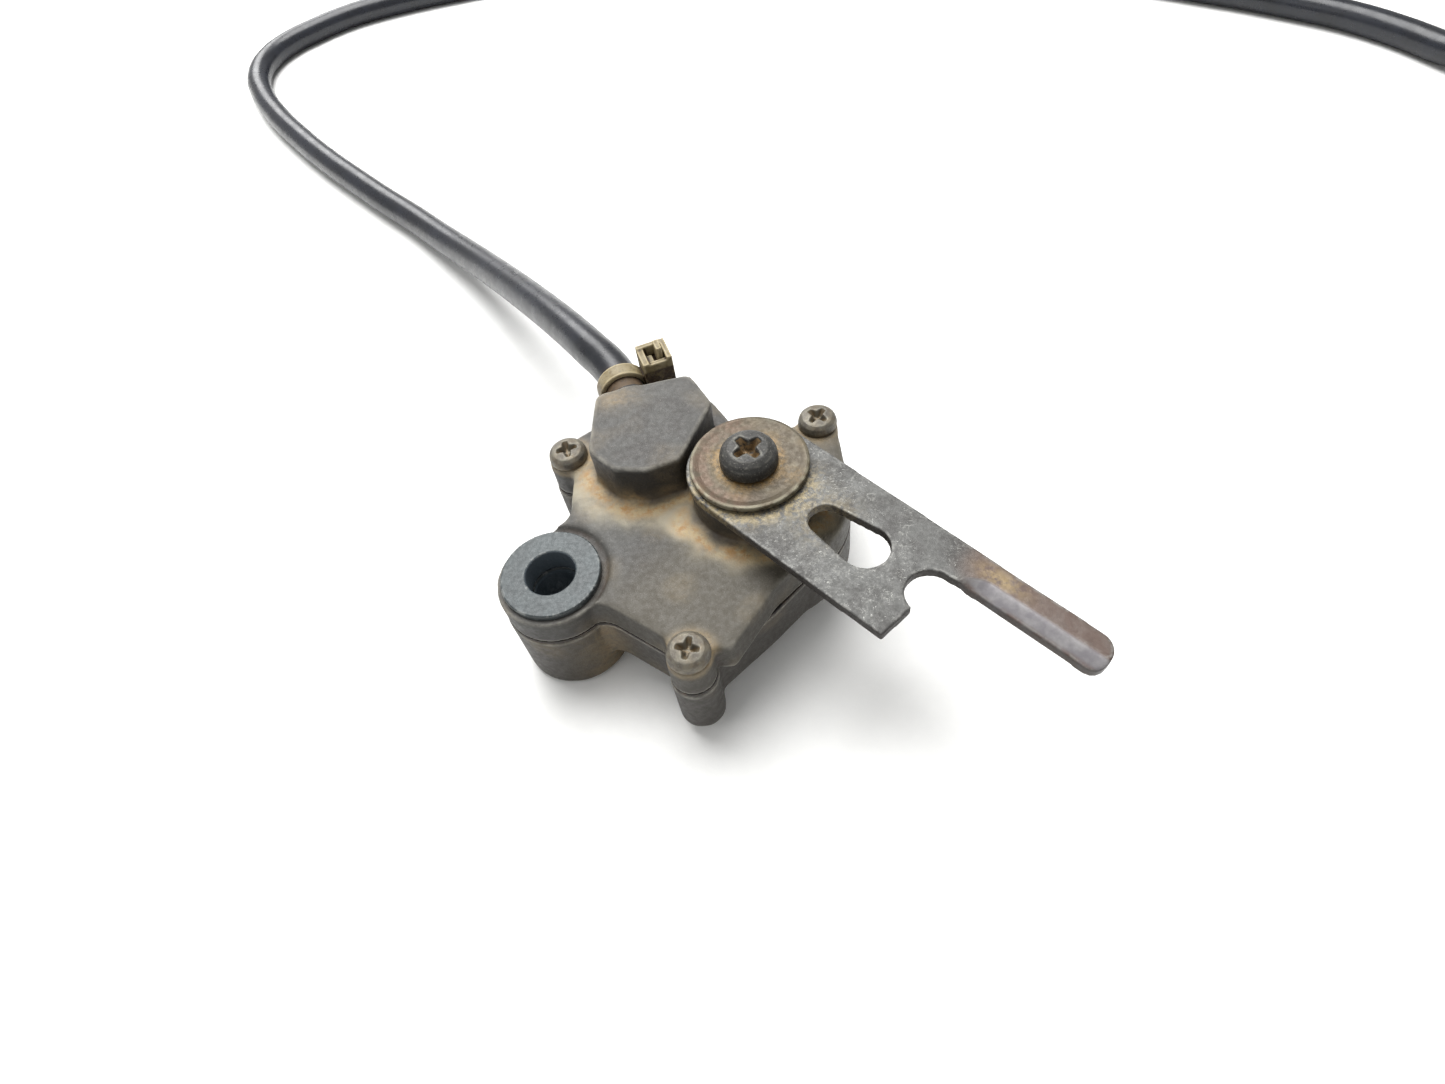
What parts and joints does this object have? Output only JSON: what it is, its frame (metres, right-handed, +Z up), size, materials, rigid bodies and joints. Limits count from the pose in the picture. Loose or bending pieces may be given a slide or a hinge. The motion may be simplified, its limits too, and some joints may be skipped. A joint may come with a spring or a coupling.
{
  "type": "limit switch",
  "caption": "Rotary limit switch with a flat sprung lever on a vertical shaft, a moulded two-part case, a bolted mounting eye and a two-core lead ending in a plug.",
  "frame": {"origin": "axis of the mounting eye's bore at its bottom face, which the switch stands on", "axes": "+Z up along the bore of the mounting eye and the lever's shaft, +Y towards the side that the lead leaves from, +X across the case towards the lever"},
  "size_m": [0.3267, 0.2648, 0.0277],
  "materials": {
    "case_plastic": "weathered moulded plastic, worn lighter at the edges",
    "lower_case_plastic": "weathered moulded plastic",
    "gasket_rubber": "matte",
    "collar_steel": "blue-grey satin coating, chipped at the rim",
    "small_screw_steel": "dulled plated steel with dirt in the recess",
    "bush_bronze": "sintered, satin",
    "seal_rubber": "satin",
    "washer_nylon": "natural nylon",
    "base_phenolic": "moulded phenolic",
    "contact_brass": "polished track",
    "core_red": "insulation",
    "core_black": "insulation",
    "potting_resin": "cast resin",
    "grommet_rubber": "matte",
    "tie_nylon": "yellowed translucent nylon",
    "spring_steel": "drawn wire",
    "shaft_steel": "turned",
    "rotor_acetal": "natural acetal",
    "bridge_brass": "spring brass",
    "clip_steel": "blackened spring steel",
    "lever_steel": "dark phosphated steel with pale scratches and dust",
    "washer_steel": "brown rust film with a bright worn rim",
    "lever_screw_steel": "black oxide with rust in the recess",
    "cable_jacket": "semi-gloss sheath",
    "plug_plastic": "moulded",
    "plug_seal_rubber": "silicone rubber",
    "plug_terminal_brass": "tinned brass",
    "plug_lock_plastic": "moulded"
  },
  "bodies": {
    "case": {"upper_housing": "case_plastic", "lower_housing": "lower_case_plastic", "housing_gasket": "gasket_rubber", "eye_collar_upper": "collar_steel", "eye_collar_lower": "collar_steel", "cover_screws": "small_screw_steel", "shaft_bush": "bush_bronze", "shaft_seal": "seal_rubber", "thrust_washer": "washer_nylon", "contact_base": "base_phenolic", "fixed_contact_a": "contact_brass", "fixed_contact_b": "contact_brass", "lead_a": "core_red", "lead_b": "core_black", "entry_potting": "potting_resin", "cable_grommet": "grommet_rubber", "cable_tie": "tie_nylon", "return_spring": "spring_steel", "cable": "cable_jacket", "connector_housing": "plug_plastic", "connector_seal": "plug_seal_rubber", "connector_terminals": "plug_terminal_brass", "connector_lock": "plug_lock_plastic"},
    "lever_arm": {"lever_shaft": "shaft_steel", "rotor": "rotor_acetal", "moving_contact": "bridge_brass", "contact_spring_a": "spring_steel", "contact_spring_b": "spring_steel", "retaining_clip": "clip_steel", "lever": "lever_steel", "lever_washer": "washer_steel", "lever_screw": "lever_screw_steel"}
  },
  "joints": [
    {"name": "lever_hinge", "type": "hinge", "parent": "case", "child": "lever_arm", "pos_m": [0.028, 0.0117, 0.0222], "axis": [0, 0, 1], "range_deg": [0, 75], "stiffness_Nm_per_rad": 0.03, "springref_deg": -34.38}
  ]
}
